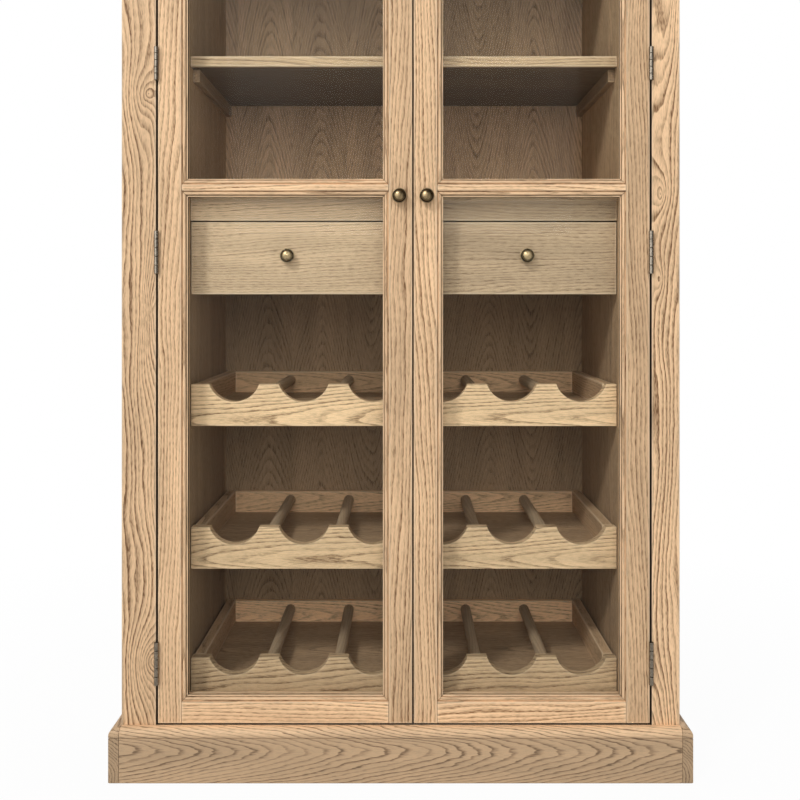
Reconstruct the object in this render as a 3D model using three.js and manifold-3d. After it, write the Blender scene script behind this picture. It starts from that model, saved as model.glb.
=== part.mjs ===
// Wine cabinet in oak: two glazed doors on butt hinges, two drawers behind them, three shelves
// and three bottle racks, in a case with a face frame, a moulded top and a skirting plinth.
// Millimetres. X runs right as seen from the front, Y runs back and Z runs up. The pieces are laid
// out with the front face of the case on y = 0; the last lines put the origin under the middle.
import * as THREE from 'three';
import { mergeVertices } from 'three/addons/utils/BufferGeometryUtils.js';
import Module from 'manifold-3d';

const wasm = await Module();
wasm.setup();

// Clearances that every joint shares
const seat = 0.3; // between two pieces that touch, rest on or are let into each other
const overrun = 2; // how far a root runs into the piece that it joins, and a cutter past its cut

// Face of the case, from left to right
const leftFaceStile = 57.5;
const leftDoorWidth = 424;
const rightDoorWidth = 393.5;
const rightFaceStile = 47;
const hingeGap = 3;
const meetingGap = 2.5;

// Case heights and thicknesses
const plinthHeight = 90;
const doorFootGap = 2.5;
const doorHeight = 1884;
const doorHeadGap = 3;
const faceRailHeight = 60;
const caseDepth = 390;
const sideThickness = 18;
const backThickness = 12;
const floorThickness = 18;
const floorReveal = 24.5; // how far the floor's top stands above the plinth's top
const liningThickness = 16;
const liningSetback = 4.5; // how far the inner sides stand back from the edge of the glass
const liningStandoff = 3; // between the back of the closed doors and the inner sides' front edge
const returnThickness = 18;
const uprightDepth = 12; // rear uprights, flush with the inner sides, that carry the cleats

// Plinth boards
const skirtThickness = 17;
const skirtGrooveDrop = 14.5;
const skirtGrooveWidth = 1.4;
const skirtGrooveDepth = 1;
const skirtRound = 11;

// Top board with its moulded edge
const topThickness = 30;
const topOverhang = 24;
const topFillet = 4;
const topCoveStep = 6;

// Door frames
const doorThickness = 24;
const stileFlat = 39;
const bottomRailFlat = 35.5;
const topRailFlat = 39;
const middleRailFlat = 10;
const middleRailFoot = 888; // from the foot of the door to the middle rail's flat
const mouldingWidth = 10;
const quirkWidth = 2;
const beadRadius = 2.5;
const beadSink = 0.8; // the bead's crown below the face of the door
const lipDepth = 12; // from the face of the door to the back of the moulding
const glassThickness = 4;
const glassPlay = 1.5;

// Hinges: the barrel stands in front of the gap, and a leaf lies on each side of the gap
const endHingeInset = 101; // from the foot or head of a door to the middle of its end hinges
const middleHingeInset = 785;
const hingeLength = 72;
const upperHingeLength = 56;
const barrelRadius = 4;
const pinRadius = 1.7;
const leafDepth = 19;
const leafThickness = (hingeGap - 3 * seat) / 2;
const knuckles = 5;

// Knobs, alike on the doors and the drawers
const knobHeadRadius = 12.6;
const knobRoseRadius = 8.5;
const knobNeckRadius = 4.6;
const knobRoseThickness = 2.4;
const knobNeckLength = 8;
const knobRimThickness = 1.8;
const knobDomeHeight = 8.2;
const doorKnobInset = 21.5;
const doorKnobHeight = 878.5; // above the foot of the door

// Shelves over the drawers
const shelfThickness = 17.5;
const lowestShelfHeight = 213; // from the top of the drawer shelf to the underside of the shelf
const shelfBay = 231; // clear height between two shelves
const shelfCount = 3;
const frontLine = 44; // front of the shelves, drawers and racks behind the face of the case
const cleatWidth = 12;
const cleatHeight = 22;

// Drawers and what holds them
const drawerShelfThickness = 18;
const drawerShelfTop = 985;
const drawerRailHeight = 33;
const drawerRailThickness = 20;
const drawerFrontHeight = 123.5;
const drawerFrontThickness = 20;
const drawerTopGap = 2.5;
const drawerSideGap = 1.5;
const dividerWidth = 86;
const dividerShift = 3.75; // how far the divider stands left of the line where the doors meet
const dividerBoard = 16;
const drawerBoxInset = 4;
const drawerBoxBoard = 12;
const drawerBackGap = 24; // between the drawer boxes and the back panel
const drawerHeadroom = 10;
const drawerKnobRise = 4; // above the middle of the drawer's front
const runnerHeight = 9;

// Bottle racks
// Each rack's place between the lowest rack and the drawers
const rackHeightShares = [0.752, 0.359, 0];
const rackFrontHeight = 71.5;
const rackFrontThickness = 20;
const rackEndGap = 1;
const cradleRadius = 45;
const cradleDepth = 30;
const cradleCount = 6;
const firstCradle = 74; // from the left end of the rack's front to the middle of its first cradle
const lastCradle = 60.5; // from the right end to the middle of the last one
const traySideGap = 4;
const traySideThickness = 18;
const trayBackThickness = 12;
const trayFloorThickness = 10;
const trayDepth = 42; // from the top of the rack down to its floor
const trayBackGap = 1;
const dowelRadius = 10;
const dowelDrop = 17;
const rackCleatHeight = 17;

// Places that follow from the sizes
const caseWidth = leftFaceStile + leftDoorWidth + rightDoorWidth + rightFaceStile + 2 * hingeGap + meetingGap;
const caseLeft = -caseWidth / 2;
const caseRight = caseWidth / 2;
const doorFoot = plinthHeight + doorFootGap;
const doorHead = doorFoot + doorHeight;
const caseTop = doorHead + doorHeadGap + faceRailHeight;
const floorTop = plinthHeight + floorReveal;
const backFace = caseDepth - backThickness;
const liningFront = doorThickness + liningStandoff;
const innerLeft = caseLeft + leftFaceStile + hingeGap + stileFlat + mouldingWidth - liningSetback;
const innerRight = caseRight - rightFaceStile - hingeGap - stileFlat - mouldingWidth + liningSetback;
const shelfDepthSpan = [frontLine, backFace - seat];
const liningBack = backFace - seat - uprightDepth - seat;
const knobReach = knobRoseThickness + knobNeckLength + knobRimThickness + knobDomeHeight;

const doors = [
  {
    name: 'door_left',
    side: 'left',
    span: [caseLeft + leftFaceStile + hingeGap, caseLeft + leftFaceStile + hingeGap + leftDoorWidth],
    hingeX: caseLeft + leftFaceStile + hingeGap / 2,
    towardsCase: -1,
  },
  {
    name: 'door_right',
    side: 'right',
    span: [caseRight - rightFaceStile - hingeGap - rightDoorWidth, caseRight - rightFaceStile - hingeGap],
    hingeX: caseRight - rightFaceStile - hingeGap / 2,
    towardsCase: 1,
  },
];

const hinges = [
  { name: 'bottom', middle: doorFoot + endHingeInset, length: hingeLength },
  { name: 'lower', middle: doorFoot + middleHingeInset, length: hingeLength },
  { name: 'upper', middle: doorHead - middleHingeInset, length: upperHingeLength },
  { name: 'top', middle: doorHead - endHingeInset, length: hingeLength },
];

const drawerTop = drawerShelfTop - drawerShelfThickness - drawerRailHeight - drawerTopGap;
const drawerFoot = drawerTop - drawerFrontHeight;
const doorsMeet = caseLeft + leftFaceStile + hingeGap + leftDoorWidth + meetingGap / 2;
const dividerLeft = doorsMeet - dividerShift - dividerWidth / 2;
const drawers = [
  { name: 'drawer_left', span: [innerLeft + drawerSideGap, dividerLeft - drawerSideGap] },
  { name: 'drawer_right', span: [dividerLeft + dividerWidth + drawerSideGap, innerRight - drawerSideGap] },
];
const drawerBoxFront = frontLine + drawerFrontThickness + seat;
const drawerBoxBack = backFace - drawerBackGap;
const runnerTop = drawerFoot + seat + runnerHeight;
const runnerWidth = drawerBoxInset + drawerBoxBoard;

const shelfFeet = Array.from(
  { length: shelfCount },
  (_, i) => drawerShelfTop + lowestShelfHeight + i * (shelfBay + shelfThickness),
);

const rackEnds = [innerLeft + rackEndGap, innerRight - rackEndGap];
const cradlePitch = (rackEnds[1] - rackEnds[0] - firstCradle - lastCradle) / (cradleCount - 1);
const lowestRackTop = floorTop + seat + rackFrontHeight;
const rackTops = rackHeightShares.map((share) => lowestRackTop + share * (drawerFoot - lowestRackTop));

// Materials
const material = (color, roughness, metalness = 0) => (
  new THREE.MeshStandardMaterial({ color, roughness, metalness })
);
const faceOak = () => material('#b8946a', 0.6);
const innerOak = () => material('#7d6a54', 0.7);
const agedBrass = () => material('#8a7550', 0.35, 1);
const darkSteel = () => material('#6b655c', 0.4, 1);
const clearGlass = () => {
  const glass = material('#dfe8e4', 0.05);
  glass.transparent = true;
  glass.opacity = 0.25;
  return glass;
};

const cabinet = new THREE.Group();

// A solid that can be joined and cut, from a closed geometry
function solid(geometry) {
  const bare = geometry.clone();
  bare.deleteAttribute('normal');
  bare.deleteAttribute('uv');
  const merged = mergeVertices(bare);
  const vertProperties = new Float32Array(merged.attributes.position.array);
  const triVerts = new Uint32Array(merged.index.array);
  return new wasm.Manifold(new wasm.Mesh({ numProp: 3, vertProperties, triVerts }));
}

// The geometry of a joined or cut solid
function shell(manifold) {
  const mesh = manifold.getMesh();
  const geometry = new THREE.BufferGeometry();
  geometry.setAttribute('position', new THREE.BufferAttribute(mesh.vertProperties, 3));
  geometry.setIndex(new THREE.BufferAttribute(mesh.triVerts, 1));
  geometry.computeVertexNormals();
  return geometry;
}

function joined(geometries) {
  return shell(geometries.map(solid).reduce((whole, piece) => whole.add(piece)));
}

function add(name, geometry, finish) {
  const mesh = new THREE.Mesh(geometry, finish);
  mesh.name = name;
  cabinet.add(mesh);
}

// A board between two x, two y and two z
function board([x0, x1], [y0, y1], [z0, z1]) {
  const geometry = new THREE.BoxGeometry(x1 - x0, y1 - y0, z1 - z0);
  geometry.translate((x0 + x1) / 2, (y0 + y1) / 2, (z0 + z1) / 2);
  return geometry;
}

// From the lesser to the greater of two places
const ordered = (from, to) => [Math.min(from, to), Math.max(from, to)];

// A section in (out, up) carried along a line. The section's first axis points along out, its
// second along up, and the line runs along out x up. A mitre of 1 shortens that end as the section
// goes out, -1 lengthens it, and 0 leaves it square.
function moulding(section, length, start, out, up, [firstMitre, lastMitre] = [0, 0]) {
  const geometry = new THREE.ExtrudeGeometry(section, { depth: length, bevelEnabled: false, curveSegments: 4 });
  const place = geometry.attributes.position;
  for (let i = 0; i < place.count; i += 1) {
    const reach = Math.max(place.getX(i), 0);
    const atFirst = place.getZ(i) < length / 2;
    const shift = atFirst ? firstMitre * reach : -lastMitre * reach;
    place.setZ(i, place.getZ(i) + shift);
  }
  const along = new THREE.Vector3().crossVectors(out, up);
  geometry.applyMatrix4(new THREE.Matrix4().makeBasis(out, up, along).setPosition(start));
  return geometry;
}

const right = new THREE.Vector3(1, 0, 0);
const left = new THREE.Vector3(-1, 0, 0);
const back = new THREE.Vector3(0, 1, 0);
const front = new THREE.Vector3(0, -1, 0);
const up = new THREE.Vector3(0, 0, 1);
const down = new THREE.Vector3(0, 0, -1);
const point = (x, y, z) => new THREE.Vector3(x, y, z);

// The outer sides, from the floor to the top board
function sidePanels() {
  const depth = [doorThickness + seat, caseDepth];
  const height = [0, caseTop];
  add('side_panel_left', board([caseLeft, caseLeft + sideThickness], depth, height), faceOak());
  add('side_panel_right', board([caseRight - sideThickness, caseRight], depth, height), faceOak());
}

// Two stiles and the rail over the doors, glued up as one frame
function faceFrame() {
  const depth = [0, doorThickness];
  const railFoot = doorHead + doorHeadGap;
  const leftStile = board([caseLeft, caseLeft + leftFaceStile], depth, [0, caseTop]);
  const rightStile = board([caseRight - rightFaceStile, caseRight], depth, [0, caseTop]);
  const railSpan = [caseLeft + leftFaceStile - overrun, caseRight - rightFaceStile + overrun];
  const rail = board(railSpan, depth, [railFoot, caseTop]);
  add('face_frame', joined([leftStile, rightStile, rail]), faceOak());
}

// The top board: a slab with a cove and a rounded nose along its front and both ends
function topBoard() {
  const foot = caseTop + seat;
  const slab = board([caseLeft, caseRight], [0, caseDepth], [foot, foot + topThickness]);
  const edge = new THREE.Shape();
  const noseRadius = (topThickness - topFillet - topCoveStep) / 2;
  const noseMiddle = topThickness - topFillet - noseRadius;
  edge.moveTo(-overrun, 0);
  edge.lineTo(topCoveStep, 0);
  edge.lineTo(topCoveStep, topCoveStep);
  edge.absarc(topOverhang - noseRadius, noseMiddle, noseRadius, -Math.PI / 2, Math.PI / 2, false);
  edge.lineTo(topOverhang - noseRadius, topThickness);
  edge.lineTo(-overrun, topThickness);
  const frontEdge = moulding(edge, caseWidth, point(caseRight, 0, foot), front, up, [-1, -1]);
  const leftEdge = moulding(edge, caseDepth, point(caseLeft, 0, foot), left, up, [-1, 0]);
  const rightEdge = moulding(edge, caseDepth, point(caseRight, caseDepth, foot), right, up, [0, -1]);
  add('top_board', joined([slab, frontEdge, leftEdge, rightEdge]), faceOak());
}

function backPanel() {
  const width = [caseLeft + sideThickness + seat, caseRight - sideThickness - seat];
  add('back_panel', board(width, [backFace, caseDepth], [floorTop - floorThickness, caseTop]), innerOak());
}

function floorPanel() {
  const width = [caseLeft + sideThickness + seat, caseRight - sideThickness - seat];
  const height = [floorTop - floorThickness, floorTop];
  add('floor_panel', board(width, [liningFront, backFace - seat], height), innerOak());
}

// A section in (out, up) carried from stop to stop at floor height. Each stop has a place and the
// direction of out there, as long as the mitre needs; the stops run anticlockwise from above.
function carriedRound(section, stops) {
  const profile = section.getPoints(4);
  const count = profile.length;
  const points = stops.flatMap(({ place, out }) => (
    profile.flatMap(({ x, y }) => [place[0] + x * out[0], place[1] + x * out[1], y])
  ));
  const faces = THREE.ShapeUtils.triangulateShape(profile, []);
  const lastStop = (stops.length - 1) * count;
  faces.push(...faces.map(([i, j, k]) => [lastStop + k, lastStop + j, lastStop + i]));
  for (let stop = 0; stop < lastStop; stop += count) {
    for (let i = 0; i < count; i += 1) {
      const [here, next] = [stop + i, stop + ((i + 1) % count)];
      faces.push([here, here + count, next], [next, here + count, next + count]);
    }
  }
  const geometry = new THREE.BufferGeometry();
  geometry.setAttribute('position', new THREE.Float32BufferAttribute(points, 3));
  geometry.setIndex(faces.flat());
  geometry.computeVertexNormals();
  return geometry;
}

// Skirting round the front and sides, with a groove under a rounded top edge
function plinth() {
  const section = new THREE.Shape();
  const groove = plinthHeight - skirtGrooveDrop;
  const roundBack = skirtThickness - skirtRound;
  section.moveTo(0, 0);
  section.lineTo(skirtThickness, 0);
  section.lineTo(skirtThickness, groove - skirtGrooveWidth);
  section.lineTo(skirtThickness - skirtGrooveDepth, groove - skirtGrooveWidth);
  section.lineTo(skirtThickness - skirtGrooveDepth, groove);
  section.lineTo(skirtThickness, groove);
  section.absarc(roundBack, plinthHeight - skirtRound, skirtRound, 0, Math.PI / 2, false);
  section.lineTo(0, plinthHeight);
  const skirt = carriedRound(section, [
    { place: [caseLeft - seat, caseDepth], out: [-1, 0] },
    { place: [caseLeft - seat, -seat], out: [-1, -1] },
    { place: [caseRight + seat, -seat], out: [1, -1] },
    { place: [caseRight + seat, caseDepth], out: [1, 0] },
  ]);
  add('plinth', skirt, faceOak());
}

// An inner side: the lining board, with its front return to the outer side
function innerSide(name, face, outerFace, inwards) {
  const height = [floorTop + seat, caseTop];
  const outer = outerFace + inwards * seat;
  const lining = board(ordered(face, face - inwards * liningThickness), [liningFront, liningBack], height);
  const returnDepth = [liningFront, liningFront + returnThickness];
  const frontReturn = board(ordered(face - inwards * overrun, outer), returnDepth, height);
  add(name, joined([lining, frontReturn]), innerOak());
}

// A rear upright, flush with the inner side's face, with the cleats that run forwards from it along
// the inner side and carry the shelves, the drawer and the racks
function cleats(name, face, inwards) {
  const uprightSpan = ordered(face, face - inwards * liningThickness);
  const uprightRun = [backFace - seat - uprightDepth, backFace - seat];
  const cleatRun = [frontLine + rackFrontThickness + seat, backFace - seat];
  const pieces = [board(uprightSpan, uprightRun, [floorTop + seat, caseTop])];
  const rows = [drawerShelfTop - drawerShelfThickness, ...shelfFeet].map((foot) => (
    { reach: cleatWidth, height: [foot - seat - cleatHeight, foot - seat] }
  ));
  for (const top of rackTops) {
    const underTray = top - trayDepth - trayFloorThickness - seat;
    rows.push({ reach: traySideGap + traySideThickness, height: [underTray - rackCleatHeight, underTray] });
  }
  rows.push({ reach: drawerSideGap + runnerWidth, height: [runnerTop - runnerHeight, runnerTop] });
  for (const { reach, height } of rows) {
    const tip = face + inwards * reach;
    pieces.push(board(ordered(face + inwards * seat, tip), cleatRun, height));
    pieces.push(board(ordered(face - inwards * overrun, tip), uprightRun, height));
  }
  add(name, joined(pieces), innerOak());
}

// The board over the drawers, with the rail glued under its front edge
function drawerShelf() {
  const width = [innerLeft + seat, innerRight - seat];
  const foot = drawerShelfTop - drawerShelfThickness;
  const top = board(width, shelfDepthSpan, [foot, drawerShelfTop]);
  const railDepth = [frontLine, frontLine + drawerRailThickness];
  const rail = board(width, railDepth, [foot - drawerRailHeight, foot + overrun]);
  add('drawer_shelf', joined([top, rail]), faceOak());
}

// The divider hangs between the drawers: a post in front of two boards with the inner runners
function drawerDivider() {
  const ends = [dividerLeft, dividerLeft + dividerWidth];
  const railFoot = drawerShelfTop - drawerShelfThickness - drawerRailHeight;
  const shelfFoot = drawerShelfTop - drawerShelfThickness;
  const boardFront = frontLine + drawerRailThickness + seat;
  const boardDepth = [boardFront, backFace - seat];
  const boardHeight = [drawerFoot, shelfFoot - seat];
  const runnerSpan = [runnerTop - runnerHeight, runnerTop];
  const pieces = [
    board(ends, [frontLine, boardFront + overrun], [drawerFoot, railFoot - seat]),
    board([ends[0], ends[0] + dividerBoard], boardDepth, boardHeight),
    board([ends[1] - dividerBoard, ends[1]], boardDepth, boardHeight),
    board([ends[0] - drawerSideGap - runnerWidth, ends[0] + overrun], boardDepth, runnerSpan),
    board([ends[1] - overrun, ends[1] + drawerSideGap + runnerWidth], boardDepth, runnerSpan),
  ];
  add('drawer_divider', joined(pieces), innerOak());
}

function shelves() {
  shelfFeet.forEach((foot, i) => {
    const width = [innerLeft + seat, innerRight - seat];
    add(`shelf_${i + 1}`, board(width, shelfDepthSpan, [foot, foot + shelfThickness]), faceOak());
  });
}

// The front of a rack: a board with a row of round cradles cut in its top edge
function rackFront(top) {
  const outline = new THREE.Shape();
  const rise = cradleRadius - cradleDepth;
  const halfChord = Math.sqrt(cradleRadius ** 2 - rise ** 2);
  const startAngle = Math.atan2(-rise, halfChord);
  outline.moveTo(rackEnds[0], top - rackFrontHeight);
  outline.lineTo(rackEnds[1], top - rackFrontHeight);
  outline.lineTo(rackEnds[1], top);
  for (let i = cradleCount - 1; i >= 0; i -= 1) {
    const middle = rackEnds[0] + firstCradle + i * cradlePitch;
    outline.absarc(middle, top + rise, cradleRadius, startAngle, -Math.PI - startAngle, true);
  }
  outline.lineTo(rackEnds[0], top);
  const settings = { depth: rackFrontThickness, bevelEnabled: false, curveSegments: 8 };
  const geometry = new THREE.ExtrudeGeometry(outline, settings);
  geometry.rotateX(Math.PI / 2);
  geometry.translate(0, frontLine + rackFrontThickness, 0);
  return geometry;
}

// The tray behind it: a floor, two sides, a back and a dowel between each two cradles
function rackTray(top) {
  const trayFront = frontLine + rackFrontThickness + seat;
  const trayBack = backFace - trayBackGap;
  const outer = [innerLeft + traySideGap, innerRight - traySideGap];
  const foot = top - trayDepth - trayFloorThickness;
  const depth = [trayFront, trayBack];
  const backBoard = [trayBack - trayBackThickness, trayBack];
  const pieces = [
    board(outer, depth, [foot, foot + trayFloorThickness]),
    board([outer[0], outer[0] + traySideThickness], depth, [foot, top]),
    board([outer[1] - traySideThickness, outer[1]], depth, [foot, top]),
    board(outer, backBoard, [foot, top]),
  ];
  const dowelLength = backBoard[0] + overrun - trayFront;
  for (let i = 0; i < cradleCount - 1; i += 1) {
    const dowel = new THREE.CylinderGeometry(dowelRadius, dowelRadius, dowelLength, 16);
    const middle = rackEnds[0] + firstCradle + (i + 1 / 2) * cradlePitch;
    dowel.translate(middle, trayFront + dowelLength / 2, top - dowelDrop);
    pieces.push(dowel);
  }
  return joined(pieces);
}

function racks() {
  rackTops.forEach((top, i) => {
    add(`rack_${i + 1}_front`, rackFront(top), faceOak());
    add(`rack_${i + 1}_tray`, rackTray(top), innerOak());
  });
}

// Section of the moulding round the glass: a quirk, a bead, a small step and the lip over the glass
function doorMoulding() {
  const quirkDepth = beadSink + beadRadius;
  const bead = quirkWidth + beadRadius;
  const section = new THREE.Shape();
  section.moveTo(-overrun, quirkDepth);
  section.lineTo(-overrun, lipDepth);
  section.lineTo(mouldingWidth, lipDepth);
  section.lineTo(mouldingWidth, quirkDepth + beadSink);
  section.lineTo(bead + beadRadius, quirkDepth + beadSink);
  section.absarc(bead, quirkDepth, beadRadius, 0, -Math.PI, true);
  return section;
}

// The four moulded edges of one glazed opening, by the piece of the door that carries each
function openingMouldings([x0, x1], [z0, z1]) {
  const section = doorMoulding();
  const wide = x1 - x0 - 2 * seat;
  const tall = z1 - z0 - 2 * seat;
  const mitred = [1, 1];
  return {
    left: moulding(section, tall, point(x0, 0, z0 + seat), right, back, mitred),
    right: moulding(section, tall, point(x1, 0, z1 - seat), left, back, mitred),
    bottom: moulding(section, wide, point(x1 - seat, 0, z0), up, back, mitred),
    top: moulding(section, wide, point(x0 + seat, 0, z1), down, back, mitred),
  };
}

function pane([x0, x1], [z0, z1]) {
  const depth = [lipDepth + seat, lipDepth + seat + glassThickness];
  return board([x0 + glassPlay, x1 - glassPlay], depth, [z0 + glassPlay, z1 - glassPlay]);
}

// A door: two stiles through, three rails between them, two panes and a knob
function door({ name, side, span, towardsCase }) {
  const depth = [0, doorThickness];
  const between = [span[0] + stileFlat, span[1] - stileFlat];
  const railSpan = [between[0] + seat, between[1] - seat];
  const middleFoot = doorFoot + middleRailFoot;
  const lower = [doorFoot + bottomRailFlat, middleFoot];
  const upper = [middleFoot + middleRailFlat, doorHead - topRailFlat];
  const lowerEdge = openingMouldings(between, lower);
  const upperEdge = openingMouldings(between, upper);
  const height = [doorFoot, doorHead];
  const leftStile = joined([board([span[0], between[0]], depth, height), lowerEdge.left, upperEdge.left]);
  const rightStile = joined([board([between[1], span[1]], depth, height), lowerEdge.right, upperEdge.right]);
  const bottomRail = joined([board(railSpan, depth, [doorFoot, lower[0]]), lowerEdge.bottom]);
  const middleRail = joined([board(railSpan, depth, [lower[1], upper[0]]), lowerEdge.top, upperEdge.bottom]);
  const topRail = joined([board(railSpan, depth, [upper[1], doorHead]), upperEdge.top]);
  const hingeFirst = towardsCase < 0;
  add(`${name}_hinge_stile`, hingeFirst ? leftStile : rightStile, faceOak());
  add(`${name}_meeting_stile`, hingeFirst ? rightStile : leftStile, faceOak());
  add(`${name}_bottom_rail`, bottomRail, faceOak());
  add(`${name}_middle_rail`, middleRail, faceOak());
  add(`${name}_top_rail`, topRail, faceOak());
  add(`${name}_lower_glass`, pane(between, lower), clearGlass());
  add(`${name}_upper_glass`, pane(between, upper), clearGlass());
  const knobX = side === 'left' ? span[1] - doorKnobInset : span[0] + doorKnobInset;
  add(`${name}_knob`, knob(knobX, -seat, doorFoot + doorKnobHeight), agedBrass());
}

// A turned knob pointing forwards: rose, neck, rim and domed head
function knob(x, y, z) {
  const rimFoot = knobRoseThickness + knobNeckLength;
  const domeFoot = rimFoot + knobRimThickness;
  const steps = 5;
  const profile = [
    [0, 0],
    [knobRoseRadius, 0],
    [knobRoseRadius, knobRoseThickness],
    [knobNeckRadius, knobRoseThickness],
    [knobNeckRadius, rimFoot - knobRimThickness],
    [knobHeadRadius, rimFoot],
  ];
  for (let i = 0; i <= steps; i += 1) {
    const angle = (i / steps) * (Math.PI / 2);
    profile.push([knobHeadRadius * Math.cos(angle), domeFoot + knobDomeHeight * Math.sin(angle)]);
  }
  profile[profile.length - 1][0] = 0;
  const geometry = new THREE.LatheGeometry(profile.map(([r, h]) => new THREE.Vector2(r, h)), 20);
  geometry.rotateX(Math.PI);
  geometry.translate(x, y, z);
  return geometry;
}

// One leaf of a butt hinge. The case's leaf has the odd knuckles and the pin, the door's leaf has
// the knuckles between them, bored to run on the pin.
function hingeLeaf({ hingeX, towardsCase }, { middle, length }, onCase) {
  const axisY = -barrelRadius - seat;
  const foot = middle - length / 2;
  const knuckle = length / knuckles;
  const side = onCase ? towardsCase : -towardsCase;
  const outerFace = hingeX + side * (hingeGap / 2 - seat);
  const innerFace = outerFace - side * leafThickness;
  const leafSpan = ordered(outerFace, innerFace);
  const tabFront = axisY + (barrelRadius + pinRadius + seat) / 2;
  const pieces = [board(leafSpan, [0, leafDepth], [foot, foot + length])];
  for (let i = onCase ? 0 : 1; i < knuckles; i += 2) {
    const height = knuckle - seat;
    const barrelFoot = foot + i * knuckle + seat / 2;
    const barrel = new THREE.CylinderGeometry(barrelRadius, barrelRadius, height, 16);
    barrel.rotateX(Math.PI / 2);
    barrel.translate(hingeX, axisY, barrelFoot + height / 2);
    pieces.push(barrel);
    pieces.push(board(leafSpan, [tabFront, overrun], [barrelFoot, barrelFoot + height]));
  }
  const pinCore = onCase ? pinRadius : pinRadius + seat;
  const pin = new THREE.CylinderGeometry(pinCore, pinCore, length - seat, 16);
  pin.rotateX(Math.PI / 2);
  pin.translate(hingeX, axisY, middle);
  const leaf = pieces.map(solid).reduce((whole, piece) => whole.add(piece));
  return shell(onCase ? leaf.add(solid(pin)) : leaf.subtract(solid(pin)));
}

function hingePairs(doorOf) {
  for (const hinge of hinges) {
    add(`hinge_${doorOf.side}_${hinge.name}_case_leaf`, hingeLeaf(doorOf, hinge, true), darkSteel());
    add(`hinge_${doorOf.side}_${hinge.name}_door_leaf`, hingeLeaf(doorOf, hinge, false), darkSteel());
  }
}

// A drawer: an oak front on an open box, with a knob in the middle of the front
function drawer({ name, span }) {
  const frontDepth = [frontLine, frontLine + drawerFrontThickness];
  const boxDepth = [drawerBoxFront, drawerBoxBack];
  const outer = [span[0] + drawerBoxInset, span[1] - drawerBoxInset];
  const foot = runnerTop + seat;
  const height = [foot, drawerTop - drawerHeadroom];
  const pieces = [
    board(outer, boxDepth, [foot, foot + drawerBoxBoard]),
    board([outer[0], outer[0] + drawerBoxBoard], boxDepth, height),
    board([outer[1] - drawerBoxBoard, outer[1]], boxDepth, height),
    board(outer, [boxDepth[0], boxDepth[0] + drawerBoxBoard], height),
    board(outer, [boxDepth[1] - drawerBoxBoard, boxDepth[1]], height),
  ];
  add(`${name}_front`, board(span, frontDepth, [drawerFoot, drawerTop]), faceOak());
  add(`${name}_box`, joined(pieces), innerOak());
  const middleX = (span[0] + span[1]) / 2;
  const knobHeight = (drawerFoot + drawerTop) / 2 + drawerKnobRise;
  add(`${name}_knob`, knob(middleX, frontLine - seat, knobHeight), agedBrass());
}

sidePanels();
faceFrame();
topBoard();
backPanel();
floorPanel();
plinth();
innerSide('inner_side_left', innerLeft, caseLeft + sideThickness, 1);
innerSide('inner_side_right', innerRight, caseRight - sideThickness, -1);
cleats('cleats_left', innerLeft, 1);
cleats('cleats_right', innerRight, -1);
drawerShelf();
drawerDivider();
shelves();
racks();
doors.forEach(door);
doors.forEach(hingePairs);
drawers.forEach(drawer);

// The origin lies on the floor, under the middle of the whole depth
cabinet.position.y = (Math.max(topOverhang, knobReach + seat) - caseDepth) / 2;

export default cabinet;
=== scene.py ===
"""Looks of the oak wine cabinet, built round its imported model. Metres, in the model's own frame:
X runs right as seen from the front, Y runs back and Z up."""

from functools import partial
from math import pi

import bmesh
import bpy
import numpy as np
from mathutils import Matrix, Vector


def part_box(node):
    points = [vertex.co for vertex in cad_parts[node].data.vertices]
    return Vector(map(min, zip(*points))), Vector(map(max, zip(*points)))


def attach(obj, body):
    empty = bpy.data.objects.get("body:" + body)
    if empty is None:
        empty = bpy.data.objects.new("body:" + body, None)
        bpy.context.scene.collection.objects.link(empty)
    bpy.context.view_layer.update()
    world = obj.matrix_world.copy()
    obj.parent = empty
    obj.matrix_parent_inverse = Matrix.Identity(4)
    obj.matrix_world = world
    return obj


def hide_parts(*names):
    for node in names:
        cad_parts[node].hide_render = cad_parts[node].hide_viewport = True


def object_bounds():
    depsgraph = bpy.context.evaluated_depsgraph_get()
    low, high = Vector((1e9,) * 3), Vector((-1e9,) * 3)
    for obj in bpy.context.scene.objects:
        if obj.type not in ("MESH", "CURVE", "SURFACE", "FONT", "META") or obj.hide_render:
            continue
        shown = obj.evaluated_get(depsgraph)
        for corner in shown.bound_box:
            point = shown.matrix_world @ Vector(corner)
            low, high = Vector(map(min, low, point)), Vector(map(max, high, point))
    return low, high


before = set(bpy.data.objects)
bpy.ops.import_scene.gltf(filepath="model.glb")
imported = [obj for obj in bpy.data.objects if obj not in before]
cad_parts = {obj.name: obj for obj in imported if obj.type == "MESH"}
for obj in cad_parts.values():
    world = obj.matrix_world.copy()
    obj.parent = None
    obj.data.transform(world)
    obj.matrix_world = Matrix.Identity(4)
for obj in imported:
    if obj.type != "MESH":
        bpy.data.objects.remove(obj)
cad_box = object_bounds()

mm = 0.001

# Sizes of the case and what is in it, as the solids have them
SEAT = 0.3 * mm
LEFT_FACE_STILE = 57.5 * mm
RIGHT_FACE_STILE = 47 * mm
FACE_RAIL = 60 * mm
LINING = 16 * mm
RETURN = 18 * mm
CLEAT = 12 * mm
CLEAT_HEIGHT = 22 * mm
UPRIGHT = 12 * mm
SHELF_RAIL = 20 * mm
SHELF_BOARD = 18 * mm
LIPPING = 8 * mm  # solid edge of a shelf
DIVIDER_BOARD = 16 * mm
RUNNER_REACH = 17.5 * mm
RUNNER_HEIGHT = 9 * mm
RAIL_JOINT = 20 * mm  # in the rail over the drawers
BACK_LEAVES = 8

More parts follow.
